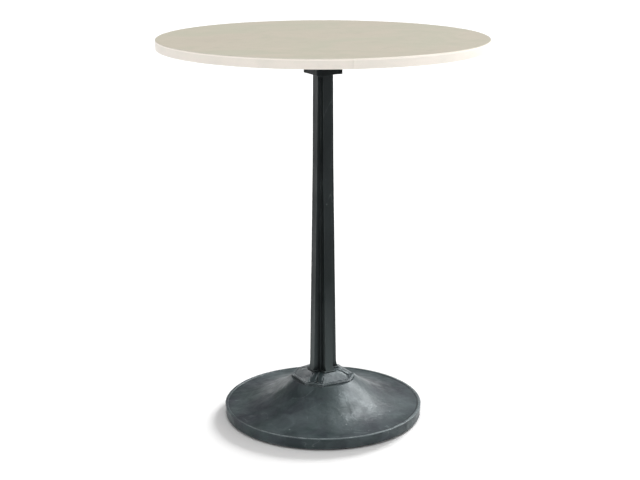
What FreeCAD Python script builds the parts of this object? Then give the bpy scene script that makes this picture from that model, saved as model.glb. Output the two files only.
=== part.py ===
import FreeCAD, Part
import math
import os
from types import SimpleNamespace

import Sketcher

# Pub table: a round veneered top on a cast column and a bell-shaped cast base.
# Millimetres, +Z up. The origin is on the floor under the centre of the table.
# The square castings lie along X and Y.

DRIVING_SIZES = {
    # whole table
    "table_height": 1067.0,
    "top_diameter": 888.0,
    "top_thickness": 25.0,
    # layers of the top
    "face_thickness": 1.5,
    "face_arris": 1.0,
    "backer_thickness": 1.0,
    "band_thickness": 2.5,
    "glue_line": 0.1,
    "seam_width": 0.5,
    "seam_direction": -110.0,
    # spider under the top
    "spider_height": 55.0,
    "spider_reach": 212.0,
    "hub_half": 33.0,
    "hub_corner_radius": 3.0,
    "hub_pocket_radius": 21.0,
    "hub_floor": 32.0,
    "arm_width": 30.0,
    "arm_tip_radius": 14.0,
    "arm_flange": 6.0,
    "arm_web": 8.0,
    "arm_web_end": 162.0,
    "arm_root_depth": 36.0,
    "inner_screw_radius": 176.0,
    "outer_screw_radius": 200.0,
    # screws that hold the top
    "screw_radius": 3.0,
    "screw_length": 12.0,
    "screw_head_across": 10.0,
    "screw_head_height": 4.0,
    "thread_clearance": 0.05,
    "screw_clearance": 0.3,
    # capital
    "plate_size": 77.0,
    "plate_thickness": 16.0,
    "plate_corner_radius": 1.5,
    "neck_height": 5.0,
    "neck_flare": 2.5,
    # column: half sizes of its square outline, of its strips and of its core
    "head_half": 23.7,
    "waist_half": 25.6,
    "waist_drop": 246.0,
    "foot_half": 35.3,
    "head_strip_half": 13.2,
    "foot_strip_half": 12.0,
    "head_core_half": 13.6,
    "foot_core_half": 20.3,
    "scoop_height": 12.0,
    "flare": 4.5,
    "flare_height": 20.0,
    "moulding_height": 4.0,
    "moulding_half": 41.0,
    "moulding_strip_half": 18.0,
    "column_bore_radius": 10.0,
    "spigot_radius": 9.8,
    "spigot_height": 5.0,
    # collar
    "collar_height": 24.0,
    "collar_half": 78.0,
    "collar_face_half": 44.0,
    "fascia_height": 3.2,
    "fascia_slope": 1.4,
    "fascia_groove": 0.9,
    "fascia_groove_inset": 3.2,
    "fascia_bead": 0.9,
    "bead_inset": 1.2,
    "panel_inset": 1.8,
    "panel_border": 3.2,
    "border_height": 0.8,
    "border_step": 1.3,
    "panel_top_half": 45.0,
    "panel_top_face_half": 20.0,
    "panel_relief": 7.5,
    "field_top_half": 38.0,
    "field_top_face_half": 14.0,
    "lobe_foot_reach": 75.0,
    "lobe_top_reach": 44.0,
    "lobe_bulge": 8.0,
    "lobe_foot_radius": 11.0,
    "lobe_top_radius": 7.5,
    "lobe_foot_offset": 11.3,
    "lobe_top_offset": 8.6,
    "tenon_half": 20.0,
    "tenon_height": 13.0,
    "tenon_clearance": 0.2,
    # base
    "base_height": 108.0,
    "base_diameter": 557.0,
    "wall_draft": 1.5,
    "floor_gap": 5.5,
    "rim_height": 34.0,
    "lip_width": 8.0,
    "lip_step": 1.5,
    "seat_radius": 90.0,
    "dome_dip": 19.0,
    "shell_thickness": 7.0,
    "rim_thickness": 8.0,
    "casting_arris": 1.2,
    "boss_radius": 34.0,
    "boss_height": 30.0,
    "rib_thickness": 6.0,
    "rib_clearance": 5.0,
    # tie rod
    "rod_radius": 6.0,
    "rod_hole_radius": 6.8,
    "rod_end": 5.0,
    "nut_across": 18.0,
    "nut_height": 10.0,
    "rod_washer_radius": 12.0,
    "rod_washer_thickness": 2.5,
    "plate_washer_size": 44.0,
    "plate_washer_thickness": 6.0,
    # levelling glides
    "glide_direction": -157.0,
    "glide_inset": 33.5,
    "glide_boss_radius": 13.0,
    "glide_boss_roof": 5.0,
    "pad_radius": 13.5,
    "pad_height": 7.0,
    "stem_radius": 4.0,
    "ball_radius": 5.0,
    "ball_height": 3.0,
    "ball_clearance": 0.2,
    "hexagon_across": 13.0,
    "hexagon_height": 4.0,
    "hexagon_gap": 0.3,
    "stem_top_gap": 1.5,
}


class Size:
    """A size known both as a number and as the expression that gives it from the sheet."""

    def __init__(self, number, text):
        self.number = float(number)
        self.text = text

    def joined(self, sign, other, number):
        return Size(number, f"({self.text} {sign} {as_size(other).text})")

    def __add__(self, other):
        return self.joined("+", other, self.number + as_size(other).number)

    def __sub__(self, other):
        return self.joined("-", other, self.number - as_size(other).number)

    def __mul__(self, other):
        return self.joined("*", other, self.number * as_size(other).number)

    def __truediv__(self, other):
        return self.joined("/", other, self.number / as_size(other).number)

    def __neg__(self):
        return Size(-self.number, f"(-1 * {self.text})")


def as_size(value):
    return value if isinstance(value, Size) else Size(value, str(value))


def part_way(start, end, share):
    """The size that lies this share of the way from start to end."""
    return start + (end - start) * share


def root_of(size):
    return Size(math.sqrt(size.number), f"sqrt({size.text})")


def cos_of(angle):
    return Size(math.cos(math.radians(angle.number)), f"cos({angle.text})")


def sin_of(angle):
    return Size(math.sin(math.radians(angle.number)), f"sin({angle.text})")


def fill_sheet(sheet):
    """Write each driving size into its own aliased cell and return them all by name."""
    sizes = {}
    for row, (alias, number) in enumerate(DRIVING_SIZES.items(), start=1):
        sheet.set(f"A{row}", alias.replace("_", " "))
        sheet.set(f"B{row}", str(number))
        sheet.setAlias(f"B{row}", alias)
        sizes[alias] = Size(number, f"Sizes.{alias}")
    return SimpleNamespace(**sizes)


doc = FreeCAD.newDocument("PubTable")
sheet = doc.addObject("Spreadsheet::Sheet", "Sizes")
s = fill_sheet(sheet)
doc.recompute()

ZERO = Size(0, "0")
SUBPARTS = []
QUARTER_TURN = 90.0
NECK_SHARES = (0.0, 0.5, 1.0)
FLARE_SHARES = (0.0, 0.4, 0.7, 1.0)
SCOOP_SHARES = (0.0, 0.5, 0.8, 0.95, 1.0)
LOBE_SHARES = (0.0, 0.15, 0.4, 0.7, 1.0)
LOBE_SIDES = 16
SLOPE_SHARES = (0.2, 0.45, 0.75)
DIAGONAL = math.sqrt(0.5)

# Levels, from the floor up.
seat_level = s.base_height
collar_top = seat_level + s.collar_height
underside = s.table_height - s.top_thickness
plate_top = underside - s.spider_height
plate_bottom = plate_top - s.plate_thickness
column_top = plate_bottom - s.neck_height
flare_bottom = collar_top + s.moulding_height
flare_top = flare_bottom + s.flare_height

top_radius = s.top_diameter / 2
base_radius = s.base_diameter / 2
glide_reach = base_radius - s.glide_inset


# ---------------------------------------------------------------- building blocks


def bind(thing, **properties):
    for name, size in properties.items():
        thing.setExpression(name, as_size(size).text)


def move(thing, x=ZERO, y=ZERO, z=ZERO):
    """Tie a thing's place to the sheet."""
    for axis, size in (("x", x), ("y", y), ("z", z)):
        thing.setExpression(f"Placement.Base.{axis}", as_size(size).text)
    return thing


def finished(thing, label):
    thing.Label = label
    SUBPARTS.append(thing)
    return thing


def new_body(label):
    return finished(doc.addObject("PartDesign::Body", label + "_body"), label)


def sketch_on(body, name, plane, offset=ZERO):
    """A sketch on one of the body's own origin planes, lifted off it by offset."""
    sketch = body.newObject("Sketcher::SketchObject", name)
    support = next(item for item in body.Origin.OriginFeatures if item.Role == plane)
    sketch.AttachmentSupport = [(support, "")]
    sketch.MapMode = "FlatFace"
    sketch.setExpression("AttachmentOffset.Base.z", offset.text)
    return sketch


def turn_sketch(sketch, angle):
    """Turn an upright sketch about the upright axis."""
    sketch_upright = FreeCAD.Vector(0, 1, 0)
    turned = FreeCAD.Rotation(sketch_upright, angle.number)
    sketch.AttachmentOffset = FreeCAD.Placement(FreeCAD.Vector(), turned)
    bind(sketch, **{"AttachmentOffset.Rotation.Angle": angle})


def constrain(sketch, name, constraint, size):
    index = sketch.addConstraint(constraint)
    sketch.renameConstraint(index, name)
    sketch.setExpression(f"Constraints.{name}", size.text)


def pin_point(sketch, name, geometry, end, u, v):
    """Hold a point of the sketch at (u, v), each measured from the sketch's origin."""
    horizontal_axis, vertical_axis = -1, -2
    if u is ZERO:
        sketch.addConstraint(Sketcher.Constraint("PointOnObject", geometry, end, vertical_axis))
    else:
        across = Sketcher.Constraint("DistanceX", -1, 1, geometry, end, u.number)
        constrain(sketch, name + "_u", across, u)
    if v is ZERO:
        sketch.addConstraint(Sketcher.Constraint("PointOnObject", geometry, end, horizontal_axis))
    else:
        along = Sketcher.Constraint("DistanceY", -1, 1, geometry, end, v.number)
        constrain(sketch, name + "_v", along, v)


def arc_between(start, end, radius):
    """An arc from start to end; a positive radius keeps its centre on the left of the way there."""
    chord = end - start
    middle = (start + end) / 2
    left = FreeCAD.Vector(-chord.y, chord.x, 0) / chord.Length
    rise = math.sqrt(max(radius * radius - chord.Length ** 2 / 4, 0))
    centre = middle + left * math.copysign(rise, radius)
    circle = Part.Circle(centre, FreeCAD.Vector(0, 0, 1), abs(radius))
    first, last = (start, end) if radius > 0 else (end, start)
    return Part.ArcOfCircle(circle, circle.parameter(first), circle.parameter(last))


def outline(sketch, corners):
    """A closed outline. A corner is (u, v), or (u, v, radius) where an arc starts there."""
    count = len(corners)
    points = [FreeCAD.Vector(corner[0].number, corner[1].number, 0) for corner in corners]
    ends = []
    for index, corner in enumerate(corners):
        start, end = points[index], points[(index + 1) % count]
        clockwise = len(corner) == 3 and corner[2].number < 0
        ends.append((2, 1) if clockwise else (1, 2))
        if len(corner) == 3:
            sketch.addGeometry(arc_between(start, end, corner[2].number))
        else:
            sketch.addGeometry(Part.LineSegment(start, end))
    for index, corner in enumerate(corners):
        following = (index + 1) % count
        sketch.addConstraint(
            Sketcher.Constraint("Coincident", index, ends[index][1], following, ends[following][0])
        )
        pin_point(sketch, f"corner_{index}", index, ends[index][0], corner[0], corner[1])
        if len(corner) == 3:
            radius = corner[2] if corner[2].number > 0 else -corner[2]
            bend = Sketcher.Constraint("Radius", index, radius.number)
            constrain(sketch, f"bend_{index}", bend, radius)
    return sketch


def circle(sketch, radius, u=ZERO, v=ZERO):
    """A circle of the given radius round (u, v)."""
    centre = FreeCAD.Vector(u.number, v.number, 0)
    index = sketch.addGeometry(Part.Circle(centre, FreeCAD.Vector(0, 0, 1), radius.number))
    pin_point(sketch, f"centre_{index}", index, 3, u, v)
    reach = Sketcher.Constraint("Radius", index, radius.number)
    constrain(sketch, f"radius_{index}", reach, radius)
    return sketch


def rectangle(sketch, half_u, half_v):
    return outline(
        sketch,
        [(-half_u, -half_v), (half_u, -half_v), (half_u, half_v), (-half_u, half_v)],
    )


def rounded_rectangle(sketch, half_u, half_v, radius):
    """A rectangle about the origin with its corners rounded."""
    flat_u, flat_v = half_u - radius, half_v - radius
    return outline(
        sketch,
        [
            (-flat_u, -half_v),
            (flat_u, -half_v, radius),
            (half_u, -flat_v),
            (half_u, flat_v, radius),
            (flat_u, half_v),
            (-flat_u, half_v, radius),
            (-half_u, flat_v),
            (-half_u, -flat_v, radius),
        ],
    )


def octagon(sketch, half, face_half):
    """A square of the given half size whose four corners are cut back to face_half."""
    return outline(
        sketch,
        [
            (half, -face_half),
            (half, face_half),
            (face_half, half),
            (-face_half, half),
            (-half, face_half),
            (-half, -face_half),
            (-face_half, -half),
            (face_half, -half),
        ],
    )


def octagon_loft(body, name, stations):
    """A loft through octagons; a station is (level, half size, face half size)."""
    sections = []
    for number, (level, half, face_half) in enumerate(stations):
        section = sketch_on(body, f"{name}_{number}", "XY_Plane", level)
        sections.append(octagon(section, half, face_half))
    return loft(body, name, sections)


def polygon_across(sketch, across, sides=6):
    """A regular polygon with flats the given size across, round the origin."""
    reach = across / (2 * math.cos(math.pi / sides))
    turns = [360.0 * side / sides for side in range(sides)]
    return outline(sketch, [(reach * cos_at(turn), reach * sin_at(turn)) for turn in turns])


def cos_at(degrees):
    return round(math.cos(math.radians(degrees)), 12)


def sin_at(degrees):
    return round(math.sin(math.radians(degrees)), 12)


def pad(body, sketch, length, both_ways=False, downwards=False):
    """Raise a sketch upwards from its plane, downwards, or half each way."""
    feature = body.newObject("PartDesign::Pad", sketch.Name + "_pad")
    feature.Profile = sketch
    bind(feature, Length=length)
    feature.Midplane = both_ways
    feature.Reversed = downwards
    return feature


def pocket(body, sketch, length, upwards=False):
    """Cut a sketch downwards from its plane, or upwards."""
    feature = body.newObject("PartDesign::Pocket", sketch.Name + "_pocket")
    feature.Profile = sketch
    bind(feature, Length=length)
    feature.Reversed = upwards
    return feature


def revolve(body, sketch):
    """Turn a sketch on the XZ plane through a full circle about the upright axis."""
    feature = body.newObject("PartDesign::Revolution", sketch.Name + "_turned")
    feature.Profile = sketch
    feature.ReferenceAxis = (sketch, ["V_Axis"])
    feature.Angle = 360.0
    return feature


def loft(body, name, sections):
    """A loft in straight runs from each section to the next."""
    feature = body.newObject("PartDesign::AdditiveLoft", name)
    feature.Profile = sections[0]
    feature.Sections = sections[1:]
    feature.Ruled = True
    return feature


def four_times(body, features):
    """Repeat features round the upright axis, a quarter turn apart."""
    pattern = body.newObject("PartDesign::PolarPattern", features[0].Name + "_four")
    pattern.Originals = features
    upright = next(item for item in body.Origin.OriginFeatures if item.Role == "Z_Axis")
    pattern.Axis = (upright, [""])
    pattern.Angle = 360.0
    pattern.Occurrences = 4
    body.Tip = pattern
    return pattern


def chamfer_rings(body, width, rings):
    """Cut back the body's round edges, each given by its radius and its level."""
    doc.recompute()
    base = body.Tip
    names = []
    for number, edge in enumerate(base.Shape.Edges, start=1):
        if any(is_ring(edge, radius.number, level.number) for radius, level in rings):
            names.append(f"Edge{number}")
    feature = body.newObject("PartDesign::Chamfer", base.Name + "_arris")
    feature.Base = (base, names)
    bind(feature, Size=width)
    body.Tip = feature
    return feature


def is_ring(edge, radius, level):
    """True for a full circle of this radius about the upright axis at this level."""
    if not isinstance(edge.Curve, Part.Circle) or not edge.isClosed():
        return False
    near = 0.01
    return abs(edge.Curve.Radius - radius) < near and abs(edge.Curve.Center.z - level) < near


def cylinder(radius, height, x=ZERO, y=ZERO, z=ZERO):
    shape = doc.addObject("Part::Cylinder", "cylinder")
    bind(shape, Radius=radius, Height=height)
    return move(shape, x, y, z)


def hexagon_prism(across, height, x=ZERO, y=ZERO, z=ZERO):
    shape = doc.addObject("Part::Prism", "hexagon")
    shape.Polygon = 6
    bind(shape, Circumradius=across / (2 * math.cos(math.pi / 6)), Height=height)
    return move(shape, x, y, z)


def cut(base, tool):
    result = doc.addObject("Part::Cut", "cut")
    result.Base = base
    result.Tool = tool
    return result


def fuse(shapes):
    result = doc.addObject("Part::MultiFuse", "fuse")
    result.Shapes = shapes
    return result


def group(label, pieces):
    """Several separate solids in one node."""
    result = doc.addObject("Part::Compound", label + "_group")
    result.Links = pieces
    return finished(result, label)


def ring(outer, inner, height, x=ZERO, y=ZERO, z=ZERO):
    return cut(cylinder(outer, height, x, y, z), cylinder(inner, height, x, y, z))


# ---------------------------------------------------------------- places that repeat

SCREW_PLACES = []
for reach in (s.inner_screw_radius, s.outer_screw_radius):
    SCREW_PLACES += [(reach, ZERO), (ZERO, reach), (-reach, ZERO), (ZERO, -reach)]

GLIDE_COUNT = 4
GLIDE_PLACES = []
for index in range(GLIDE_COUNT):
    direction = s.glide_direction + index * QUARTER_TURN
    GLIDE_PLACES.append((glide_reach * cos_of(direction), glide_reach * sin_of(direction)))

# The stack under each glide boss: pad, hexagon, boss.
hexagon_level = s.pad_height + s.hexagon_gap
glide_boss_level = hexagon_level + s.hexagon_height + s.hexagon_gap


# ---------------------------------------------------------------- the top

face_bottom = s.table_height - s.face_thickness
band_inner = top_radius - s.band_thickness
core_radius = band_inner - s.glue_line
core_bottom = underside + s.backer_thickness


def make_top_face():
    body = new_body("top_face")
    disc = circle(sketch_on(body, "face_disc", "XY_Plane", face_bottom), top_radius)
    pad(body, disc, s.face_thickness)
    chamfer_rings(body, s.face_arris, [(top_radius, s.table_height)])


def make_edge_band():
    """One strip bent round the core, its two ends butted with a fine seam."""
    body = new_body("edge_band")
    sketch = circle(sketch_on(body, "band_ring", "XY_Plane", underside), top_radius)
    circle(sketch, band_inner)
    pad(body, sketch, face_bottom - underside)
    # The seam is a narrow slot, cut with the strip's ends on the X axis and then turned.
    slot = sketch_on(body, "band_seam", "XY_Plane", face_bottom)
    inside, outside = band_inner - s.band_thickness, top_radius + s.band_thickness
    half_seam = s.seam_width / 2
    outline(
        slot,
        [(inside, -half_seam), (outside, -half_seam), (outside, half_seam), (inside, half_seam)],
    )
    pocket(body, slot, s.top_thickness)
    body.setExpression("Placement.Rotation.Angle", s.seam_direction.text)


def make_top_core():
    body = new_body("top_core")
    disc = circle(sketch_on(body, "core_disc", "XY_Plane", core_bottom), core_radius)
    pad(body, disc, face_bottom - core_bottom)
    holes = sketch_on(body, "core_screw_holes", "XY_Plane", core_bottom)
    for x, y in SCREW_PLACES:
        circle(holes, s.screw_radius + s.thread_clearance, x, y)
    pocket(body, holes, s.screw_length, upwards=True)


def make_underside_backer():
    body = new_body("underside_backer")
    sheet_disc = circle(sketch_on(body, "backer_disc", "XY_Plane", underside), core_radius)
    for x, y in SCREW_PLACES:
        circle(sheet_disc, s.screw_radius + s.thread_clearance, x, y)
    pad(body, sheet_disc, s.backer_thickness)


def make_mounting_screws():
    """Hexagon-headed screws, driven up through the spider's arms into the core."""
    arm_level = underside - s.arm_flange
    head_level = arm_level - s.screw_head_height
    screws = []
    for x, y in SCREW_PLACES:
        head = hexagon_prism(s.screw_head_across, s.screw_head_height, x, y, head_level)
        shank = cylinder(s.screw_radius, s.arm_flange + s.screw_length, x, y, arm_level)
        screws.append(fuse([head, shank]))
    group("mounting_screws", screws)


# ---------------------------------------------------------------- the spider

hub_floor_level = plate_top + s.hub_floor


def make_top_spider():
    """Four T-section arms on a square hub; the hub's pocket holds the tie rod's upper nut."""
    body = new_body("top_spider")
    hub = sketch_on(body, "hub_square", "XY_Plane", plate_top)
    rounded_rectangle(hub, s.hub_half, s.hub_half, s.hub_corner_radius)
    pad(body, hub, s.spider_height)
    web_top = underside - s.arm_flange / 2
    for name, plane in (("arm_web_x", "XZ_Plane"), ("arm_web_y", "YZ_Plane")):
        web = sketch_on(body, name, plane)
        web_root = underside - s.arm_root_depth
        web_tip = underside - s.arm_flange
        outline(
            web,
            [
                (-s.hub_half, web_root),
                (s.hub_half, web_root),
                (s.arm_web_end, web_tip),
                (s.arm_web_end, web_top),
                (-s.arm_web_end, web_top),
                (-s.arm_web_end, web_tip),
            ],
        )
        pad(body, web, s.arm_web, both_ways=True)
    half_width = s.arm_width / 2
    flange_x = sketch_on(body, "flange_x", "XY_Plane", underside)
    rounded_rectangle(flange_x, s.spider_reach, half_width, s.arm_tip_radius)
    pad(body, flange_x, s.arm_flange, downwards=True)
    flange_y = sketch_on(body, "flange_y", "XY_Plane", underside)
    rounded_rectangle(flange_y, half_width, s.spider_reach, s.arm_tip_radius)
    pad(body, flange_y, s.arm_flange, downwards=True)
    nut_pocket = circle(sketch_on(body, "nut_pocket", "XY_Plane", underside), s.hub_pocket_radius)
    pocket(body, nut_pocket, underside - hub_floor_level)
    rod_hole = circle(sketch_on(body, "spider_rod_hole", "XY_Plane", underside), s.rod_hole_radius)
    pocket(body, rod_hole, s.spider_height)
    screw_holes = sketch_on(body, "spider_screw_holes", "XY_Plane", underside)
    for x, y in SCREW_PLACES:
        circle(screw_holes, s.screw_radius + s.screw_clearance, x, y)
    pocket(body, screw_holes, s.arm_flange)


# ---------------------------------------------------------------- capital and column


def make_capital():
    """A square plate on a short eight-sided neck that swells out to meet it."""
    body = new_body("capital")
    plate = sketch_on(body, "plate_square", "XY_Plane", plate_bottom)
    rounded_rectangle(plate, s.plate_size / 2, s.plate_size / 2, s.plate_corner_radius)
    pad(body, plate, s.plate_thickness)
    neck = []
    for share in NECK_SHARES:
        flare = s.neck_flare * (share * share)
        level = part_way(column_top, plate_bottom, share)
        neck.append((level, s.head_half + flare, s.head_strip_half + flare))
    octagon_loft(body, "neck", neck)
    spigot = circle(sketch_on(body, "capital_spigot", "XY_Plane", column_top), s.spigot_radius)
    pad(body, spigot, s.spigot_height, downwards=True)
    rod_hole = circle(sketch_on(body, "capital_rod_hole", "XY_Plane", plate_top), s.rod_hole_radius)
    pocket(body, rod_hole, plate_top - column_top + s.spigot_height)


def crossed_lofts(body, name, stations):
    """Two equal bars that cross at right angles; a station is (level, half length, half width)."""
    for axis in ("x", "y"):
        sections = []
        for number, (level, half_length, half_width) in enumerate(stations):
            section = sketch_on(body, f"{name}_{axis}_{number}", "XY_Plane", level)
            half_x, half_y = half_length, half_width
            if axis == "y":
                half_x, half_y = half_width, half_length
            sections.append(rectangle(section, half_x, half_y))
        loft(body, f"{name}_{axis}", sections)


def make_column():
    """Four strips crossed over a square core, both tapering, with scooped notches between them."""
    body = new_body("column")
    waist_level = column_top - s.waist_drop
    waist_share = s.waist_drop / (column_top - flare_top)
    strip_taper = s.head_strip_half - s.foot_strip_half
    crossed_lofts(
        body,
        "strips",
        [
            (flare_top, s.foot_half, s.foot_strip_half),
            (waist_level, s.waist_half, s.head_strip_half - strip_taper * waist_share),
            (column_top, s.head_half, s.head_strip_half),
        ],
    )
    core_foot = sketch_on(body, "core_foot", "XY_Plane", collar_top)
    rectangle(core_foot, s.foot_core_half, s.foot_core_half)
    core_head = sketch_on(body, "core_head", "XY_Plane", column_top)
    rectangle(core_head, s.head_core_half, s.head_core_half)
    loft(body, "core", [core_foot, core_head])
    # The flare leaves the strip as a parabola, in short straight runs.
    flare_stations = []
    for share in FLARE_SHARES:
        reach = s.foot_half + s.flare * (share * share)
        flare_stations.append((flare_top - s.flare_height * share, reach, s.foot_strip_half))
    crossed_lofts(body, "flare", flare_stations)
    moulding_lip = s.moulding_height / 2
    crossed_lofts(
        body,
        "moulding",
        [
            (collar_top, s.moulding_half, s.moulding_strip_half),
            (collar_top + moulding_lip, s.moulding_half, s.moulding_strip_half),
            (flare_bottom, s.moulding_half - moulding_lip, s.moulding_strip_half - moulding_lip),
        ],
    )
    # Under the capital each notch ends in a scoop: the core swells out to the strips' faces
    # along a quarter of an ellipse.
    scoop_depth = s.head_half - s.head_core_half
    scoop = []
    for share in SCOOP_SHARES:
        swell = 1 - math.sqrt(1 - share * share)
        level = column_top - s.scoop_height * (1 - share)
        scoop.append((level, s.head_core_half + scoop_depth * swell, s.head_strip_half))
    octagon_loft(body, "scoop", scoop)
    bore = circle(sketch_on(body, "column_bore", "XY_Plane", column_top), s.column_bore_radius)
    pocket(body, bore, column_top - collar_top)


# ---------------------------------------------------------------- collar

fascia_top = seat_level + s.fascia_height
slope_top = fascia_top + s.fascia_slope
groove_top = slope_top + s.fascia_groove
panel_foot = groove_top + s.fascia_bead


def fascia_octagon(level, inset):
    """A station of the collar's fascia, set back from its face."""
    return level, s.collar_half - inset, s.collar_face_half - inset


def make_collar():
    """A moulded octagonal fascia, four raised panels and two swelling lobes at each corner."""
    body = new_body("collar")
    slope = [(seat_level, ZERO), (fascia_top, ZERO), (slope_top, s.fascia_slope)]
    groove = [(slope_top, s.fascia_groove_inset), (groove_top, s.fascia_groove_inset)]
    bead = [(groove_top, s.bead_inset), (panel_foot, s.panel_inset)]
    for name, steps in (("fascia", slope), ("fascia_groove", groove), ("fascia_bead", bead)):
        octagon_loft(body, name, [fascia_octagon(level, inset) for level, inset in steps])
    field_inset = s.panel_inset + s.panel_relief
    field_top = (collar_top, s.field_top_half, s.field_top_face_half)
    octagon_loft(body, "field", [fascia_octagon(panel_foot, field_inset), field_top])
    add_panels(body)
    add_lobes(body)
    socket = sketch_on(body, "tenon_socket", "XY_Plane", seat_level)
    socket_half = s.tenon_half + s.tenon_clearance
    rectangle(socket, socket_half, socket_half)
    pocket(body, socket, s.tenon_height + s.tenon_clearance, upwards=True)
    spigot = circle(sketch_on(body, "collar_spigot", "XY_Plane", collar_top), s.spigot_radius)
    pad(body, spigot, s.spigot_height)
    spigot_top = collar_top + s.spigot_height
    rod_hole = circle(sketch_on(body, "collar_rod_hole", "XY_Plane", spigot_top), s.rod_hole_radius)
    pocket(body, rod_hole, s.collar_height + s.spigot_height)


def add_panels(body):
    """A sloped panel on each face, with a border round its foot and a step up to its field."""
    foot_level, foot_half, foot_face_half = fascia_octagon(panel_foot, s.panel_inset)
    narrowing = (foot_face_half - s.panel_top_face_half) / (foot_half - s.panel_top_half)
    border_level = foot_level + s.border_height
    border_half = foot_half - s.panel_border
    border_face_half = foot_face_half - s.panel_border * narrowing
    crossed_lofts(
        body,
        "panel",
        [
            (foot_level, foot_half, foot_face_half),
            (border_level, border_half, border_face_half),
            (border_level + s.border_step, border_half, border_face_half),
            (collar_top, s.panel_top_half, s.panel_top_face_half),
        ],
    )


def add_lobes(body):
    """A pair of swelling lobes side by side on each corner, drawn in towards the column."""
    lobes = []
    for name, side in (("left_lobe", -1), ("right_lobe", 1)):
        sections = []
        for number, share in enumerate(LOBE_SHARES):
            front = part_way(s.lobe_foot_reach, s.lobe_top_reach, share)
            front = front + s.lobe_bulge * (share * (1 - share) * 4)
            radius = part_way(s.lobe_foot_radius, s.lobe_top_radius, share)
            offset = part_way(s.lobe_foot_offset, s.lobe_top_offset, share) * side
            level = part_way(panel_foot, collar_top, share)
            section = sketch_on(body, f"{name}_{number}", "XY_Plane", level)
            along = radius - front
            x, y = (along + offset) * DIAGONAL, (along - offset) * DIAGONAL
            bind(section, **{"AttachmentOffset.Base.x": x, "AttachmentOffset.Base.y": y})
            sections.append(polygon_across(section, radius * 2, LOBE_SIDES))
        lobes.append(loft(body, name, sections))
    four_times(body, lobes)


# ---------------------------------------------------------------- base

lip_inner = base_radius - s.lip_width
dome_foot = s.rim_height - s.lip_step
dome_run = lip_inner - s.seat_radius
dome_fall = seat_level - dome_foot
dome_radius = (dome_run * dome_run + dome_fall * dome_fall) / (s.dome_dip * 8) + s.dome_dip / 2
foot_radius = base_radius - s.wall_draft
boss_level = seat_level - s.boss_height


def dome_centre():
    """Centre of the dome's profile arc, in the XZ plane, above and outside the dome."""
    chord = root_of(dome_run * dome_run + dome_fall * dome_fall)
    rise = dome_radius - s.dome_dip
    x = (s.seat_radius + lip_inner) / 2 + rise * dome_fall / chord
    z = (seat_level + dome_foot) / 2 + rise * dome_run / chord
    return x, z


def below_dome(depth, x):
    """Level on the arc that lies the given depth inside the dome's skin, at distance x."""
    centre_x, centre_z = dome_centre()
    radius = dome_radius + depth
    across = x - centre_x
    return centre_z - root_of(radius * radius - across * across)


def make_base_casting():
    """A bell-shaped shell with a raised lip, a rim wall, a boss, ribs and glide bosses."""
    body = new_body("base_casting")
    profile = sketch_on(body, "bell_profile", "XZ_Plane")
    ceiling = seat_level - s.shell_thickness
    inner_rim = foot_radius - s.rim_thickness
    inner_wall_top = below_dome(s.shell_thickness, inner_rim)
    shoulder = s.seat_radius - s.shell_thickness / 2
    inner_slope = []
    for share in SLOPE_SHARES:
        x = shoulder + (inner_rim - shoulder) * share
        inner_slope.append((x, below_dome(s.shell_thickness, x)))
    outline(
        profile,
        [
            (ZERO, ceiling),
            (shoulder, ceiling),
            *inner_slope,
            (inner_rim, inner_wall_top),
            (inner_rim, s.floor_gap),
            (foot_radius, s.floor_gap),
            (base_radius, s.rim_height - s.casting_arris),
            (base_radius - s.casting_arris, s.rim_height),
            (lip_inner + s.lip_step, s.rim_height),
            (lip_inner, dome_foot, -dome_radius),
            (s.seat_radius, seat_level),
            (ZERO, seat_level),
        ],
    )
    revolve(body, profile)
    boss = circle(sketch_on(body, "centre_boss", "XY_Plane", boss_level), s.boss_radius)
    pad(body, boss, s.boss_height - s.shell_thickness / 2)
    tenon = sketch_on(body, "tenon_square", "XY_Plane", seat_level)
    rectangle(tenon, s.tenon_half, s.tenon_half)
    pad(body, tenon, s.tenon_height)
    add_ribs(body)
    add_glide_bosses(body)
    rod_hole = sketch_on(body, "base_rod_hole", "XY_Plane", seat_level + s.tenon_height)
    pocket(body, circle(rod_hole, s.rod_hole_radius), s.tenon_height + s.boss_height)


def add_ribs(body):
    """Four ribs from the centre boss to the rim wall, half way between the glides."""
    rib_start = s.boss_radius * 0.9
    rib_end = foot_radius - s.rim_thickness / 2
    half_skin = s.shell_thickness / 2
    knee = s.seat_radius
    rib = sketch_on(body, "rib_profile", "XZ_Plane")
    outline(
        rib,
        [
            (rib_start, boss_level + s.rib_clearance / 2),
            (rib_end, s.floor_gap + s.rib_clearance),
            (rib_end, below_dome(half_skin, rib_end), -(dome_radius + half_skin)),
            (knee, below_dome(half_skin, knee)),
            (rib_start, seat_level - s.shell_thickness),
        ],
    )
    turn_sketch(rib, s.glide_direction + QUARTER_TURN / 2)
    four_times(body, [pad(body, rib, s.rib_thickness, both_ways=True)])


def add_glide_bosses(body):
    """A tapped boss for each glide, blind under the dome."""
    boss_top = below_dome(s.shell_thickness / 2, glide_reach)
    bosses = sketch_on(body, "glide_bosses", "XY_Plane", glide_boss_level)
    for x, y in GLIDE_PLACES:
        circle(bosses, s.glide_boss_radius, x, y)
    pad(body, bosses, boss_top - glide_boss_level)
    holes = sketch_on(body, "glide_holes", "XY_Plane", glide_boss_level)
    for x, y in GLIDE_PLACES:
        circle(holes, s.stem_radius + s.thread_clearance, x, y)
    pocket(body, holes, glide_hole_top - glide_boss_level, upwards=True)


glide_hole_top = below_dome(s.glide_boss_roof, glide_reach)


# ---------------------------------------------------------------- tie rod

upper_nut_level = hub_floor_level + s.rod_washer_thickness
plate_washer_level = boss_level - s.plate_washer_thickness
lower_washer_level = plate_washer_level - s.rod_washer_thickness
lower_nut_level = lower_washer_level - s.nut_height
rod_bottom = lower_nut_level - s.rod_end
rod_top = upper_nut_level + s.nut_height + s.rod_end


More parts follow.
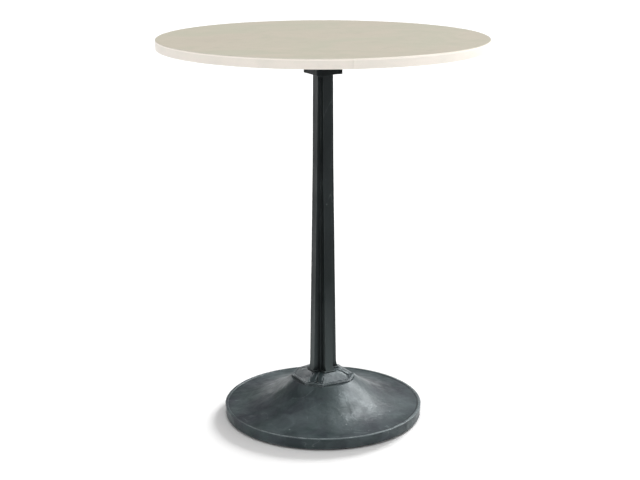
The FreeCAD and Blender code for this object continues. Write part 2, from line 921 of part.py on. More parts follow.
def make_tie_rod():
    """A rod through the whole stack, with a nut and a washer at each end."""
    finished(cylinder(s.rod_radius, rod_top - rod_bottom, z=rod_bottom), "tie_rod")
    bore = s.rod_radius + s.thread_clearance
    nuts = []
    for level in (upper_nut_level, lower_nut_level):
        nut = hexagon_prism(s.nut_across, s.nut_height, z=level)
        nuts.append(cut(nut, cylinder(bore, s.nut_height, z=level)))
    group("tie_rod_nuts", nuts)
    hole = s.rod_radius + s.screw_clearance
    washers = []
    for level in (hub_floor_level, lower_washer_level):
        washers.append(ring(s.rod_washer_radius, hole, s.rod_washer_thickness, z=level))
    group("tie_rod_washers", washers)


def make_plate_washer():
    """A heavy square washer that spreads the lower nut's pull over the base's boss."""
    body = new_body("plate_washer")
    plate = sketch_on(body, "washer_square", "XY_Plane", plate_washer_level)
    half = s.plate_washer_size / 2
    rectangle(plate, half, half)
    circle(plate, s.rod_radius + s.screw_clearance)
    pad(body, plate, s.plate_washer_thickness)


# ---------------------------------------------------------------- glides

socket_floor = s.pad_height - s.ball_height - s.ball_clearance * 2 - s.hexagon_gap * 4
ball_bottom = socket_floor + s.ball_clearance
throat_radius = (s.stem_radius + s.ball_radius) / 2 + s.ball_clearance / 2


def make_glide_pad(number, x, y):
    """A round foot with a socket that holds the stem's head and lets it turn."""
    body = new_body(f"glide_pad_{number}")
    profile = sketch_on(body, "pad_profile", "XZ_Plane")
    socket_radius = s.ball_radius + s.ball_clearance
    lip_level = ball_bottom + s.ball_height + s.ball_clearance
    outline(
        profile,
        [
            (ZERO, ZERO),
            (s.pad_radius, ZERO),
            (s.pad_radius, s.pad_height),
            (throat_radius, s.pad_height),
            (throat_radius, lip_level),
            (socket_radius, lip_level),
            (socket_radius, socket_floor),
            (ZERO, socket_floor),
        ],
    )
    revolve(body, profile)
    move(body, x, y, ZERO)


def make_glide_stem(number, x, y):
    """A threaded stem with a hexagon to turn it by and a captive head below."""
    body = new_body(f"glide_stem_{number}")
    head = circle(sketch_on(body, "stem_head", "XY_Plane", ball_bottom), s.ball_radius)
    pad(body, head, s.ball_height)
    shank = circle(sketch_on(body, "stem_shank", "XY_Plane", ball_bottom), s.stem_radius)
    pad(body, shank, glide_hole_top - s.stem_top_gap - ball_bottom)
    hexagon = sketch_on(body, "stem_hexagon", "XY_Plane", hexagon_level)
    polygon_across(hexagon, s.hexagon_across)
    pad(body, hexagon, s.hexagon_height)
    move(body, x, y, ZERO)


def make_glides():
    for number, (x, y) in enumerate(GLIDE_PLACES, start=1):
        make_glide_pad(number, x, y)
        make_glide_stem(number, x, y)


# ---------------------------------------------------------------- build, test and write


def test_document():
    """Stop if any object failed or any sub-part has no sound shape."""
    for thing in doc.Objects:
        bad = [state for state in thing.State if state in ("Invalid", "Error")]
        if bad:
            raise RuntimeError(f"{thing.Name} ({thing.Label}) is {bad}")
    for part in SUBPARTS:
        if part.Shape.isNull() or not part.Shape.isValid() or not part.Shape.Solids:
            raise RuntimeError(f"{part.Label} has no sound shape")


def write_parts():
    os.makedirs("parts", exist_ok=True)
    for part in SUBPARTS:
        part.Shape.exportStep(os.path.join("parts", part.Label + ".step"))
        print(f"{part.Label}: {len(part.Shape.Solids)} solid(s), {part.Shape.Volume / 1000:.1f} cm3")


make_top_face()
make_edge_band()
make_top_core()
make_underside_backer()
make_mounting_screws()
make_top_spider()
make_capital()
make_column()
make_collar()
make_base_casting()
make_tie_rod()
make_plate_washer()
make_glides()
doc.recompute()
test_document()
write_parts()
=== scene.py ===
import math

import bpy
from mathutils import Matrix, Vector


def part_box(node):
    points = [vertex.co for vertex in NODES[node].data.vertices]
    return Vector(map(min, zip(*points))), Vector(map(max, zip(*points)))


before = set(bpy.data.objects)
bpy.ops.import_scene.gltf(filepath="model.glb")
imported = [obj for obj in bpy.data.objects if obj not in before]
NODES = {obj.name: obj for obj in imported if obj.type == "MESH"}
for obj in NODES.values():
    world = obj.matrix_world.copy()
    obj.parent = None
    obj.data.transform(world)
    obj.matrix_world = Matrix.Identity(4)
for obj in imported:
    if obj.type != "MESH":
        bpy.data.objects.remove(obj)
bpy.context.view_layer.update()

# Looks for the pub table: a pale stone-look top over rubbed, dark cast iron.
# Everything is in metres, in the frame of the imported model.

MM = 0.001
WHITE = (1.0, 1.0, 1.0, 1.0)
GLIDES = 4

# The camera stands this far round the table, so that its square castings show two faces.
VIEW_TURN = math.radians(-29.0)


def seen_from_camera(right, away, up):
    """A point given as right of, away from and above the table's foot, as the camera sees it."""
    x = right * math.cos(VIEW_TURN) - away * math.sin(VIEW_TURN)
    y = right * math.sin(VIEW_TURN) + away * math.cos(VIEW_TURN)
    return Vector((x, y, up))


# The painted highlight along the top arris of the edge band, and how softly it ends.
ARRIS_HIGHLIGHT = 3.0 * MM
ARRIS_HIGHLIGHT_BLUR = 1.0 * MM

# The lip round the base's rim, the line of painted shade and soiling inside it, and how softly both
# of them end.
LIP_WIDTH = 8.0 * MM
LIP_GUTTER = 4.0 * MM
LIP_BLUR = 1.0 * MM

# The painted highlight on the base's lip, with some rubbing, and the painted shade inside it are
# strongest on the camera's side and to the right: least where it reaches no further that way than
# the first number below, and in full from the second on.
LIP_LIT_SIDE = seen_from_camera(0.8, -0.6, 0.0)
LIP_LIT_FROM = -0.15
LIP_LIT_TO = 0.1


# ---------------------------------------------------------------- node trees

# The middle value of a noise, and how many rays look for each arris or crevice.
NOISE_MIDDLE = 0.5
RAYS = 6


class Shader:
    """One node material, with its Principled shader ready to be fed."""

    def __init__(self, name):
        self.material = bpy.data.materials.new(name)
        self.material.use_nodes = True
        self.tree = self.material.node_tree
        self.principled = self.tree.nodes["Principled BSDF"]
        self.place = self.add("ShaderNodeTexCoord").outputs["Object"]

    def add(self, kind, settings=None, **sockets):
        """A new node; settings are its own properties and sockets its inputs, by name."""
        node = self.tree.nodes.new(kind)
        for name, value in (settings or {}).items():
            setattr(node, name, value)
        for name, value in sockets.items():
            self.feed(node.inputs[name.replace("_", " ")], value)
        return node

    def feed(self, socket, value):
        """Link the socket to another node's output, or set it to a plain value."""
        if isinstance(value, bpy.types.NodeSocket):
            self.tree.links.new(value, socket)
        else:
            socket.default_value = value

    def finish(self, **sockets):
        """Feed the Principled shader's inputs, by name, and give the material."""
        for name, value in sockets.items():
            self.feed(self.principled.inputs[name.replace("_", " ")], value)
        return self.material

    # Where a point lies.

    def stretched(self, x=1.0, y=1.0, z=1.0, shift=0.0):
        """The object coordinates, scaled along each axis and then moved along all three."""
        mapping = self.add("ShaderNodeMapping", Vector=self.place)
        mapping.inputs["Scale"].default_value = (x, y, z)
        mapping.inputs["Location"].default_value = (shift, shift, shift)
        return mapping.outputs["Vector"]

    def height(self):
        """How high up the surface lies."""
        return self.add("ShaderNodeSeparateXYZ", Vector=self.place).outputs["Z"]

    def reach_towards(self, direction):
        """How far out the surface lies in one direction."""
        node = self.add("ShaderNodeVectorMath", {"operation": "DOT_PRODUCT"})
        self.feed(node.inputs[0], self.place)
        node.inputs[1].default_value = direction
        return node.outputs["Value"]

    def ring(self, inner, outer, blur):
        """1 between two radii round the object's upright axis and 0 elsewhere."""
        flat = self.add("ShaderNodeVectorMath", {"operation": "LENGTH"})
        self.feed(flat.inputs[0], self.stretched(z=0.0))
        radius = flat.outputs["Value"]
        past_inner = self.levels(radius, inner - blur, inner + blur)
        before_outer = self.levels(radius, outer - blur, outer + blur, 1.0, 0.0)
        return self.product_of(past_inner, before_outer)

    def facing_up(self, upright=0.3, level=0.95):
        """1 on level surfaces and 0 on upright ones, by the upward part of the normal."""
        normal = self.add("ShaderNodeTexCoord").outputs["Normal"]
        upward = self.add("ShaderNodeSeparateXYZ", Vector=normal).outputs["Z"]
        return self.levels(upward, upright, level)

    def arrises(self, radius, bluntest, flattest=0.99):
        """1 on edges and 0 on flats and gentle curves.

        It goes by the cosine of how far rounding to the radius turns the normal: none at the
        cosine flattest, and in full at bluntest.
        """
        geometry = self.add("ShaderNodeNewGeometry")
        rounded = self.add("ShaderNodeBevel", {"samples": RAYS}, Radius=radius)
        alike = self.add("ShaderNodeVectorMath", {"operation": "DOT_PRODUCT"})
        self.feed(alike.inputs[0], rounded.outputs["Normal"])
        self.feed(alike.inputs[1], geometry.outputs["Normal"])
        return self.levels(alike.outputs["Value"], bluntest, flattest, 1.0, 0.0)

    def crevice_shade(self, reach, shut=0.35, free=0.9):
        """1 in corners and grooves and 0 in the open, by how much space within reach is free."""
        shade = self.add("ShaderNodeAmbientOcclusion", {"samples": RAYS}, Distance=reach)
        return self.levels(shade.outputs["AO"], shut, free, 1.0, 0.0)

    # Sums and mixtures.

    def levels(self, value, low, high, to_low=0.0, to_high=1.0):
        """Spread the values from low to high over to_low to to_high, and hold them there."""
        node = self.add("ShaderNodeMapRange", {"clamp": True})
        self.feed(node.inputs["Value"], value)
        node.inputs["From Min"].default_value = low
        node.inputs["From Max"].default_value = high
        node.inputs["To Min"].default_value = to_low
        node.inputs["To Max"].default_value = to_high
        return node.outputs["Result"]

    def blend(self, amount, first, second):
        """The first colour where amount is 0, the second where it is 1."""
        node = self.add("ShaderNodeMix", {"data_type": "RGBA"})
        self.feed(node.inputs["Factor"], amount)
        self.feed(node.inputs["A"], first)
        self.feed(node.inputs["B"], second)
        return node.outputs["Result"]

    def cover(self, colour, coat, mask, low=0.0, high=1.0, most=1.0):
        """The colour under a coat, which grows from none to most as the mask goes low to high."""
        return self.blend(self.levels(mask, low, high, to_high=most), colour, coat)

    def sum_of(self, first, second, share=1.0):
        """first plus share of second."""
        node = self.add("ShaderNodeMath", {"operation": "MULTIPLY_ADD"})
        self.feed(node.inputs[0], second)
        node.inputs[1].default_value = share
        self.feed(node.inputs[2], first)
        return node.outputs["Value"]

    def product_of(self, first, second):
        """first times second."""
        node = self.add("ShaderNodeMath", {"operation": "MULTIPLY"})
        self.feed(node.inputs[0], first)
        self.feed(node.inputs[1], second)
        return node.outputs["Value"]

    # Patterns.

    def noise(self, scale, detail=4.0, roughness=0.5, distortion=0.0, place=None):
        """Clouds of values from 0 to 1, with about scale of them to the metre."""
        node = self.add(
            "ShaderNodeTexNoise",
            Vector=place or self.place,
            Scale=scale,
            Detail=detail,
            Roughness=roughness,
            Distortion=distortion,
        )
        return node.outputs["Fac"]

    def hairlines(self, scale, half_width, place=None):
        """Fine wandering lines, 1 along each and 0 between: the middle contour of a noise."""
        ridge = self.add("ShaderNodeMath", {"operation": "SUBTRACT"})
        contours = self.noise(scale, detail=2.0, roughness=0.4, distortion=1.0, place=place)
        self.feed(ridge.inputs[0], contours)
        ridge.inputs[1].default_value = NOISE_MIDDLE
        height = self.add("ShaderNodeMath", {"operation": "ABSOLUTE"})
        self.feed(height.inputs[0], ridge.outputs["Value"])
        return self.levels(height.outputs["Value"], 0.0, half_width, 1.0, 0.0)

    def specks(self, spacing, size, share):
        """Ragged spots up to size across, about spacing apart, in that share of the cells.

        A spot is where the distance from the middle of its cell, with some rags and with a
        shrinkage of the cell's own added, is less than its edge. These are parts of a cell.
        """
        across = size / spacing
        raggedness = 0.5 * across
        most_shrinkage = 0.4 * across
        edge = 0.75 * across
        faded = 1.3 * edge
        rags_in_a_spot = 3.0
        cells = self.add("ShaderNodeTexVoronoi", Vector=self.place, Scale=1.0 / spacing)
        rags = self.noise(rags_in_a_spot / size, detail=2.0)
        ragged = self.sum_of(cells.outputs["Distance"], rags, raggedness)
        lots = self.add("ShaderNodeSeparateColor", Color=cells.outputs["Color"])
        shrinkage = self.levels(lots.outputs["Green"], 0.0, 1.0, to_high=most_shrinkage)
        spot = self.levels(self.sum_of(ragged, shrinkage), edge, faded, 1.0, 0.0)
        left_out = 1.0 - share
        blur = 0.02
        chosen = self.levels(lots.outputs["Red"], left_out, left_out + blur)
        return self.product_of(spot, chosen)

    def bump(self, height, depth, strength=1.0, under=None):
        """The normal of a surface with that height on it, over another bump's normal if given."""
        node = self.add("ShaderNodeBump", Height=height, Distance=depth, Strength=strength)
        if under is not None:
            self.feed(node.inputs["Normal"], under)
        return node.outputs["Normal"]


def srgb(red, green, blue):
    """A colour as measured on a screen, 0 to 255, in the linear values that shaders take.

    The numbers are those of the sRGB standard's own curve.
    """
    linear = []
    for value in (red, green, blue):
        share = value / 255
        linear.append(share / 12.92 if share <= 0.04045 else ((share + 0.055) / 1.055) ** 2.4)
    return (*linear, 1.0)


def tinted(colour, red, green, blue):
    """The colour with its three channels multiplied, up to full strength."""
    channels = zip(colour, (red, green, blue))
    return (*(min(1.0, channel * share) for channel, share in channels), 1.0)


def scaled(colour, share):
    """A darker or lighter shade of the colour."""
    return tinted(colour, share, share, share)


# ---------------------------------------------------------------- materials

# The fine grain of laminate sheet: its scale, in grains to the metre, and its depth.
GRAIN = 420.0
GRAIN_DEPTH = 0.02 * MM

# The cool tint of what the painted iron mirrors.
IRON_MIRROR = (0.87, 0.97, 1.0, 1.0)


def laminate(name, light, tint, rim, roughness, blotch):
    """Honed pale stone: warm and greenish clouds, faint smudges and a very fine grain.

    The clouds are about blotch across. Its upright edges take the colour of the rim, the laminate
    painted paler for the light that falls on upright faces.
    """
    shader = Shader(name)
    clouds = shader.noise(scale=1.0 / blotch, distortion=0.7)
    smudges = shader.noise(
        scale=2.6 / blotch, roughness=0.55, distortion=1.6, place=shader.stretched(y=1.6)
    )
    veins = shader.hairlines(scale=1.3 / blotch, half_width=0.012)
    grain = shader.noise(scale=GRAIN, detail=2.0, roughness=0.6)
    darker = scaled(tint, 0.93)
    body = shader.cover(light, tint, clouds, low=0.42, high=0.62)
    body = shader.cover(body, darker, smudges, low=0.56, high=0.74, most=0.8)
    in_smudges = shader.levels(smudges, 0.45, 0.7, to_high=0.35)
    body = shader.blend(shader.product_of(veins, in_smudges), body, darker)
    body = shader.cover(body, darker, grain, low=0.5, high=0.75, most=0.16)
    # Painted light: upright faces take the paler rim colour.
    body = shader.blend(shader.facing_up(), rim, body)
    sheen = shader.levels(clouds, 0.3, 0.7, roughness - 0.05, roughness + 0.07)
    skin = shader.bump(smudges, depth=0.1 * MM, strength=0.3)
    skin = shader.bump(grain, depth=GRAIN_DEPTH, strength=0.6, under=skin)
    return shader.finish(Base_Color=body, Roughness=sheen, Normal=skin)


def edging(name, light, tint, highlight_level, roughness):
    """The strip round the top: the top's laminate, painted cream for the light on its upright face,
    with faint clouds and scuffs that run along it.

    Above a level near its top arris, it carries a painted highlight.
    """
    shader = Shader(name)
    flattened = shader.stretched(z=1.8)
    clouds = shader.noise(scale=22.0, roughness=0.55, distortion=0.4, place=flattened)
    flattened = shader.stretched(z=3.0)
    scuffs = shader.noise(scale=90.0, roughness=0.6, distortion=0.6, place=flattened)
    grain = shader.noise(scale=GRAIN, detail=2.0, roughness=0.6)
    dull = scaled(tint, 0.9)
    pale = scaled(light, 1.15)
    body = shader.cover(light, tint, clouds, low=0.38, high=0.66)
    body = shader.cover(body, dull, scuffs, low=0.6, high=0.75, most=0.45)
    body = shader.cover(body, dull, grain, low=0.55, high=0.75, most=0.1)
    below, above = highlight_level - ARRIS_HIGHLIGHT_BLUR, highlight_level + ARRIS_HIGHLIGHT_BLUR
    # Painted highlight along the top arris.
    body = shader.cover(body, pale, shader.height(), low=below, high=above, most=0.7)
    sheen = shader.levels(scuffs, 0.3, 0.7, roughness - 0.04, roughness + 0.08)
    skin = shader.bump(grain, depth=GRAIN_DEPTH, strength=0.6)
    return shader.finish(Base_Color=body, Roughness=sheen, Normal=skin)


def painted_floor_light(shader, colour, pale, grime_and_shade, top):
    """Painted light: the colour, paler from the level top down to the floor, but not in shaded
    corners.
    """
    near_floor = shader.levels(shader.height(), 0.0, top, 1.0, 0.0)
    unshaded = shader.levels(grime_and_shade, 0.0, 0.5, 0.8, 0.0)
    return shader.blend(shader.product_of(near_floor, unshaded), colour, pale)


def lip_wear_and_light(shader, inner, outer, patches):
    """Painted highlight and rubbing on the lip between two radii; painted shade and soiling inside.
    """
    # Painted light: strongest on the side where the light falls on the lip.
    lit_side = shader.levels(shader.reach_towards(LIP_LIT_SIDE), LIP_LIT_FROM, LIP_LIT_TO, to_low=0.15)
    gutter = shader.ring(inner - LIP_GUTTER, inner, LIP_BLUR)
    dirt_and_shade = shader.product_of(gutter, shader.levels(patches, 0.3, 0.55, 0.2, 0.8))
    dirt_and_shade = shader.product_of(dirt_and_shade, lit_side)
    polish_and_highlight = shader.product_of(shader.ring(inner, outer, LIP_BLUR), shader.facing_up())
    dents = shader.levels(shader.noise(scale=75.0, roughness=0.65), 0.38, 0.6, to_low=0.2)
    polish_and_highlight = shader.product_of(polish_and_highlight, dents)
    polish_and_highlight = shader.product_of(polish_and_highlight, lit_side)
    return polish_and_highlight, dirt_and_shade


def cast_iron(
    name,
    dark,
    rubbed,
    bare_and_lit,
    roughness,
    shade_reach,
    gloss=0.25,
    bluntest=0.8,
    streaks=1.0,
    shift=0.0,
    lip=None,
    floor_light_below=None,
):
    """Dark painted iron on a skin left uneven by the sand.

    It is rubbed in clouds, and chipped and scratched. Its arrises are paled, partly by wear and
    partly as a painted highlight, and its corners and grooves are darkened with painted shade and
    some soiling. Its reach is how far out of a corner that painted shade comes, gloss how strongly
    it mirrors, and bluntest the cosine of the turn at which an arris is paled in full. With streaks
    under 1, its clouds are drawn out upright, and shift moves them to another part of the noise.
    A lip, the radii between which it lies, gets a painted highlight with some rubbing along its
    top, and painted shade with some soiling inside it. Below a given level, it grows paler towards
    the floor, as painted light.
    """
    shader = Shader(name)
    drawn = shader.stretched(z=streaks, shift=shift)
    clouds = shader.noise(scale=7.0, detail=5.0, roughness=0.55, distortion=0.5, place=drawn)
    patches = shader.noise(scale=26.0, detail=5.0, roughness=0.6, distortion=0.5, place=drawn)
    drawn_tints = shader.stretched(y=1.3, z=streaks)
    tints = shader.noise(scale=11.0, detail=3.0, distortion=0.5, place=drawn_tints)
    grit = shader.noise(scale=650.0, detail=3.0, roughness=0.6)
    ripples = shader.noise(scale=38.0, detail=2.0, distortion=0.3, place=drawn)
    chips = shader.specks(spacing=30.0 * MM, size=4.5 * MM, share=0.35)
    pits = shader.specks(spacing=21.0 * MM, size=2.4 * MM, share=0.3)
    scratches = shader.hairlines(scale=9.0, half_width=0.006, place=drawn)
    scratches = shader.product_of(scratches, shader.levels(patches, 0.5, 0.6))
    # Arrises paled, partly by wear and partly as a painted highlight.
    worn_and_highlit = shader.arrises(radius=2.0 * MM, bluntest=bluntest)
    worn_and_highlit = shader.product_of(worn_and_highlit, shader.levels(patches, 0.3, 0.62, to_low=0.15))
    # Painted shade, with some soiling, by how closed in each corner and groove is.
    grime_and_shade = shader.crevice_shade(shade_reach)
    wear = shader.levels(clouds, 0.36, 0.68)
    wear = shader.sum_of(wear, shader.levels(patches, 0.42, 0.7), share=0.6)

    # Near black: for the painted shade in corners and in the lip's gutter, and for real pits.
    black = scaled(dark, 0.3)
    green = tinted(dark, 0.85, 1.08, 0.98)
    violet = tinted(dark, 1.08, 0.95, 1.1)
    colour = shader.cover(green, violet, tints, low=0.38, high=0.62)
    colour = shader.cover(colour, rubbed, wear, low=0.1, high=1.4)
    colour = shader.cover(colour, rubbed, grit, low=0.6, high=0.8, most=0.2)
    # Painted light: paler towards the floor.
    if floor_light_below:
        colour = painted_floor_light(shader, colour, bare_and_lit, grime_and_shade, floor_light_below)
    colour = shader.cover(colour, bare_and_lit, scratches, most=0.35)
    # Painted shade in corners and grooves.
    colour = shader.cover(colour, black, grime_and_shade, most=0.8)
    # Painted highlight on the arrises, with wear.
    colour = shader.cover(colour, bare_and_lit, worn_and_highlit, most=0.75)
    colour = shader.cover(colour, bare_and_lit, chips, most=0.6)
    colour = shader.cover(colour, black, pits, most=0.6)

    sheen = shader.levels(patches, 0.36, 0.66, roughness + 0.09, roughness - 0.07)
    sheen = shader.sum_of(sheen, grime_and_shade, share=0.15)
    # Painted highlight with some rubbing on the lip's top, painted shade with soiling inside it.
    if lip:
        inner, outer = lip
        polish_and_highlight, dirt_and_shade = lip_wear_and_light(shader, inner, outer, patches)
        colour = shader.blend(dirt_and_shade, colour, black)
        colour = shader.cover(colour, bare_and_lit, polish_and_highlight, most=0.6)
        sheen = shader.sum_of(sheen, dirt_and_shade, share=0.2)
        sheen = shader.sum_of(sheen, polish_and_highlight, share=-0.12)

    skin = shader.bump(ripples, depth=2.0 * MM, strength=0.6)
    skin = shader.bump(grit, depth=0.06 * MM, strength=0.6, under=skin)
    skin = shader.bump(pits, depth=-0.25 * MM, strength=0.8, under=skin)
    skin = shader.bump(scratches, depth=-0.08 * MM, strength=0.8, under=skin)
    return shader.finish(
        Base_Color=colour,
        Roughness=sheen,
        Normal=skin,
        Specular_IOR_Level=gloss,
        Specular_Tint=IRON_MIRROR,
    )


def raw_board(name):
    """Pressed wood chips, lying flat."""
    shader = Shader(name)
    chips = shader.add("ShaderNodeTexVoronoi", Vector=shader.stretched(z=4.0), Scale=260.0)
    tint = shader.levels(chips.outputs["Distance"], 0.1, 0.7)
    colour = shader.blend(tint, srgb(176, 140, 98), srgb(122, 88, 56))
    skin = shader.bump(tint, depth=0.2 * MM, strength=0.5)
    return shader.finish(Base_Color=colour, Roughness=0.85, Normal=skin)


def backing_sheet(name):
    """Brown resin-soaked paper with a faint grain along X."""
    shader = Shader(name)
    along_x = shader.stretched(y=14.0)
    fibres = shader.noise(scale=60.0, detail=6.0, roughness=0.65, distortion=0.2, place=along_x)
    colour = shader.cover(srgb(96, 78, 62), srgb(74, 60, 49), fibres, low=0.3, high=0.7)
    skin = shader.bump(fibres, depth=0.05 * MM, strength=0.5)
    return shader.finish(Base_Color=colour, Roughness=0.55, Normal=skin)


def steel(name, colour, roughness):
    """Plated or plain steel, a little clouded, with fine upright scratches."""
    shader = Shader(name)
    clouds = shader.noise(scale=180.0, roughness=0.6)
    upright = shader.stretched(z=0.2)
    scratches = shader.noise(scale=900.0, detail=2.0, roughness=0.7, place=upright)
    tint = shader.cover(colour, scaled(colour, 0.7), clouds, low=0.35, high=0.7)
    sheen = shader.levels(clouds, 0.3, 0.7, roughness, roughness + 0.2)
    skin = shader.bump(scratches, depth=0.02 * MM, strength=0.5)
    return shader.finish(Base_Color=tint, Roughness=sheen, Normal=skin, Metallic=1.0)


def nylon(name):
    """Dull black moulded plastic, scuffed."""
    shader = Shader(name)
    scuffs = shader.noise(scale=300.0, roughness=0.65)
    colour = shader.cover(srgb(30, 31, 32), srgb(62, 62, 62), scuffs, low=0.4, high=0.8)
    skin = shader.bump(scuffs, depth=0.05 * MM, strength=0.4)
    return shader.finish(Base_Color=colour, Roughness=0.6, Normal=skin)


def dress(materials):
    """Give each node its material."""
    for node, material in materials.items():
        for slot in NODES[node].material_slots:
            slot.material = material


# ---------------------------------------------------------------- edges

# How far in from its edges each casting is rounded.
SOFT_EDGES = {
    "base_casting": 1.0 * MM,
    "collar": 0.35 * MM,
    "column": 1.2 * MM,
    "capital": 1.2 * MM,
    "top_spider": 1.2 * MM,
}

# The rounding's facets, the least turn that it counts as an edge, and how near points are joined.
SOFT_FACETS = 2
LEAST_EDGE = math.radians(38.0)
JOIN_WITHIN = 0.01 * MM


def soften(node, width):
    """Round a casting's sharp edges a little and shade it evenly."""
    piece = NODES[node]
    weld = piece.modifiers.new("join_faces", "WELD")
    weld.merge_threshold = JOIN_WITHIN
    bevel = piece.modifiers.new("soft_edges", "BEVEL")
    bevel.width = width
    bevel.segments = SOFT_FACETS
    bevel.limit_method = "ANGLE"
    bevel.angle_limit = LEAST_EDGE
    bevel.use_clamp_overlap = True
    shade = piece.modifiers.new("even_shading", "WEIGHTED_NORMAL")
    shade.keep_sharp = False


# ---------------------------------------------------------------- studio

# A point just under the top of the base's dome, which the lamps are aimed at.
BASE_LEVEL = 0.1

# The floor reaches well past what the camera sees of it.
FLOOR_RADIUS = 60.0
FLOOR_SIDES = 96

# The camera has a long lens, is a little above the top and looks slightly down. Its pitch, which
# is downwards, and its roll are in radians.
CAMERA_PLACE = seen_from_camera(-0.0084, -3.5631, 1.4735)
CAMERA_PITCH = 0.2646
CAMERA_ROLL = -0.0008
LENS_MM = 75.0
SENSOR_MM = 36.0


def make_floor():
    """A white floor under the table."""
    bpy.ops.mesh.primitive_circle_add(vertices=FLOOR_SIDES, radius=FLOOR_RADIUS, fill_type="NGON")
    floor = bpy.context.object
    floor.name = "studio_floor"
    shader = Shader("studio_floor")
    tone = shader.noise(scale=0.6, detail=2.0)
    colour = shader.blend(tone, srgb(247, 247, 247), srgb(250, 250, 250))
    floor.data.materials.append(shader.finish(Base_Color=colour, Roughness=0.9))
    return floor


def towards(azimuth, elevation):
    """A direction from the table: degrees round from straight away to the right, and up."""
    azimuth, elevation = math.radians(azimuth), math.radians(elevation)
    level = math.cos(elevation)
    right, away = math.sin(azimuth) * level, math.cos(azimuth) * level
    return seen_from_camera(right, away, math.sin(elevation))


def hang(lamp, direction, distance=0.0):
    """Put a lamp that far out and turn it to the middle of the base."""
    lamp.location = direction * distance + Vector((0.0, 0.0, BASE_LEVEL))
    lamp.rotation_euler = direction.to_track_quat("Z", "Y").to_euler()
    bpy.context.scene.collection.objects.link(lamp)
    return lamp


def sun(name, direction, spread, strength):
    """A round, far, soft source; spread is its width in degrees."""
    light = bpy.data.lights.new(name, "SUN")
    light.angle = math.radians(spread)
    light.energy = strength
    return hang(bpy.data.objects.new(name, light), direction)


def softbox(name, direction, distance, width, height, watts):
    """An oblong lamp near the table, facing the base."""
    light = bpy.data.lights.new(name, "AREA")
    light.shape = "RECTANGLE"
    light.size = width
    light.size_y = height
    light.energy = watts
    return hang(bpy.data.objects.new(name, light), direction, distance)


def group(name, pieces):
    """A collection for light linking, which isn't in the scene itself."""
    collection = bpy.data.collections.new(name)
    for piece in pieces:
        collection.objects.link(piece)
    return collection


def light_only(name, pieces, lamps, blockers=None):
    """Keep the lamps' light to the pieces, where only the blockers, if given, shade it."""
    receivers = group(name, pieces)
    for lamp in lamps:
        lamp.light_linking.receiver_collection = receivers
        if blockers:
            lamp.light_linking.blocker_collection = blockers


def surround(strength, shaded, direction, edge):
    """White light from all round, dimmed smoothly to the shaded strength in one direction.

    The dimming starts where the cosine of the angle to that direction is edge.
    """
    world = bpy.data.worlds.new("studio")
    world.use_nodes = True
    tree = world.node_tree
    looking = tree.nodes.new("ShaderNodeTexCoord")
    nearness = tree.nodes.new("ShaderNodeVectorMath")
    nearness.operation = "DOT_PRODUCT"
    nearness.inputs[1].default_value = direction
    dimmed = tree.nodes.new("ShaderNodeMapRange")
    dimmed.interpolation_type = "SMOOTHSTEP"
    dimmed.inputs["From Min"].default_value = edge
    dimmed.inputs["From Max"].default_value = 1.0
    dimmed.inputs["To Min"].default_value = strength
    dimmed.inputs["To Max"].default_value = shaded
    sky = tree.nodes["Background"]
    sky.inputs["Color"].default_value = WHITE
    tree.links.new(looking.outputs["Generated"], nearness.inputs[0])
    tree.links.new(nearness.outputs["Value"], dimmed.inputs["Value"])
    tree.links.new(dimmed.outputs["Result"], sky.inputs["Strength"])
    bpy.context.scene.world = world


def light_studio(floor):
    """White surroundings, and lamps of their own for the top, the ironwork and the floor.

    The base and the collar have a few more to themselves, and only the base shades the floor.
    """
    surround(strength=0.66, shaded=0.26, direction=towards(-20.0, 26.0), edge=0.6)
    top = [NODES["top_face"], NODES["edge_band"]]
    below_top = [piece for piece in NODES.values() if piece not in top]
    base = [NODES["base_casting"]]
    top_lamps = [sun("top_key", towards(60.0, 62.0), spread=40.0, strength=4.8)]
    lamps_below = [
        sun("key", towards(55.0, 46.0), spread=46.0, strength=5.8),
        softbox("left_back", towards(-32.0, 12.0), distance=3.0, width=0.9, height=0.3, watts=4.8),
        softbox("left", towards(-115.0, 8.0), distance=1.6, width=0.9, height=0.5, watts=2.2),
        softbox("front_low", towards(155.0, 14.0), distance=2.8, width=1.6, height=1.2, watts=12.0),
    ]
    base_lamps = [
        softbox("left_low", towards(-110.0, 4.0), distance=1.5, width=0.9, height=0.3, watts=5.0),
    ]
    collar_lamps = [
        sun("collar_left", towards(-20.0, 31.0), spread=24.0, strength=0.7),
        sun("collar_top", towards(0.0, 62.0), spread=24.0, strength=0.3),
    ]
    floor_lamps = [
        sun("floor_key", towards(30.0, 22.0), spread=22.0, strength=4.4),
        sun("floor_fill", towards(0.0, 90.0), spread=20.0, strength=0.5),
    ]
    floor_shade = group("floor_shade", base)
    light_only("lit_top", top, top_lamps)
    light_only("lit_below", below_top, lamps_below)
    light_only("lit_base", base, base_lamps)
    light_only("lit_collar", [NODES["collar"]], collar_lamps)
    light_only("lit_floor", [floor], floor_lamps, floor_shade)


def place_camera():
    """The camera, turned round the table, tipped down and rolled."""
    lens = bpy.data.cameras.new("photo_camera")
    lens.lens = LENS_MM
    lens.sensor_width = SENSOR_MM
    lens.sensor_fit = "HORIZONTAL"
    camera = bpy.data.objects.new("photo_camera", lens)
    camera.location = CAMERA_PLACE
    turned = Matrix.Rotation(VIEW_TURN, 3, "Z")
    tipped = Matrix.Rotation(math.pi / 2 - CAMERA_PITCH, 3, "X")
    rolled = Matrix.Rotation(CAMERA_ROLL, 3, "Z")
    camera.rotation_euler = (turned @ tipped @ rolled).to_euler()
    bpy.context.scene.collection.objects.link(camera)
    bpy.context.scene.camera = camera


# ---------------------------------------------------------------- put together

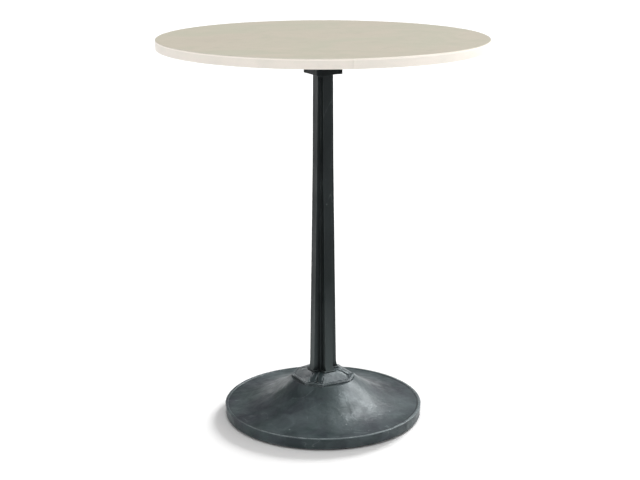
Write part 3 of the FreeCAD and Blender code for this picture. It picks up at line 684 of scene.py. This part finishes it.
stone = laminate(
    "stone_laminate",
    light=srgb(161, 154, 140),
    tint=srgb(153, 150, 135),
    # The rim colour: the laminate painted paler for the light on upright faces.
    rim=srgb(226, 219, 207),
    roughness=0.42,
    blotch=0.2,
)
band_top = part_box("edge_band")[1].z
# The band's cream is the top's laminate painted paler for the light on its upright face; its top
# arris gets a painted highlight.
band = edging(
    "band_laminate",
    light=srgb(240, 232, 222),
    tint=srgb(234, 228, 218),
    highlight_level=band_top - ARRIS_HIGHLIGHT,
    roughness=0.45,
)
base_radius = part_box("base_casting")[1].x
iron = cast_iron(
    "base_iron",
    dark=srgb(34, 40, 42),
    rubbed=srgb(67, 75, 77),
    bare_and_lit=srgb(122, 130, 132),
    roughness=0.36,
    shade_reach=9.0 * MM,
    shift=2.1,
    lip=(base_radius - LIP_WIDTH, base_radius),
)
# The collar's paler metal colour and lower bluntest give its arrises and lobes stronger paling,
# partly by wear and partly as a painted highlight.
collar_iron = cast_iron(
    "collar_iron",
    dark=srgb(34, 39, 42),
    rubbed=srgb(62, 70, 73),
    bare_and_lit=srgb(160, 168, 170),
    roughness=0.34,
    shade_reach=12.0 * MM,
    bluntest=0.93,
)
column_iron = cast_iron(
    "column_iron",
    dark=srgb(10, 13, 14),
    rubbed=srgb(26, 31, 31),
    bare_and_lit=srgb(84, 92, 92),
    roughness=0.4,
    shade_reach=22.0 * MM,
    gloss=0.2,
    streaks=0.3,
    shift=0.9,
    # Painted light: the column grows paler below this height.
    floor_light_below=0.4,
)
# Painted shade: the capital's iron is a darker copy of the column's, for the shade under the top.
shaded_capital_iron = cast_iron(
    "shaded_capital_iron",
    dark=srgb(7, 9, 9),
    rubbed=srgb(18, 21, 21),
    bare_and_lit=srgb(60, 66, 66),
    roughness=0.42,
    shade_reach=22.0 * MM,
    gloss=0.1,
)
zinc = steel("zinc_steel", srgb(176, 178, 176), roughness=0.3)
plain = steel("plain_steel", srgb(130, 130, 128), roughness=0.4)
pad_plastic = nylon("pad_nylon")

dress({
    "top_face": stone,
    "edge_band": band,
    "top_core": raw_board("core_board"),
    "underside_backer": backing_sheet("backing_sheet"),
    "mounting_screws": zinc,
    "top_spider": column_iron,
    "capital": shaded_capital_iron,
    "column": column_iron,
    "collar": collar_iron,
    "base_casting": iron,
    "tie_rod": plain,
    "tie_rod_nuts": zinc,
    "tie_rod_washers": zinc,
    "plate_washer": plain,
})
for number in range(1, GLIDES + 1):
    dress({f"glide_pad_{number}": pad_plastic, f"glide_stem_{number}": zinc})

for node, width in SOFT_EDGES.items():
    soften(node, width)

light_studio(make_floor())
place_camera()
bpy.context.scene.view_settings.view_transform = "Standard"
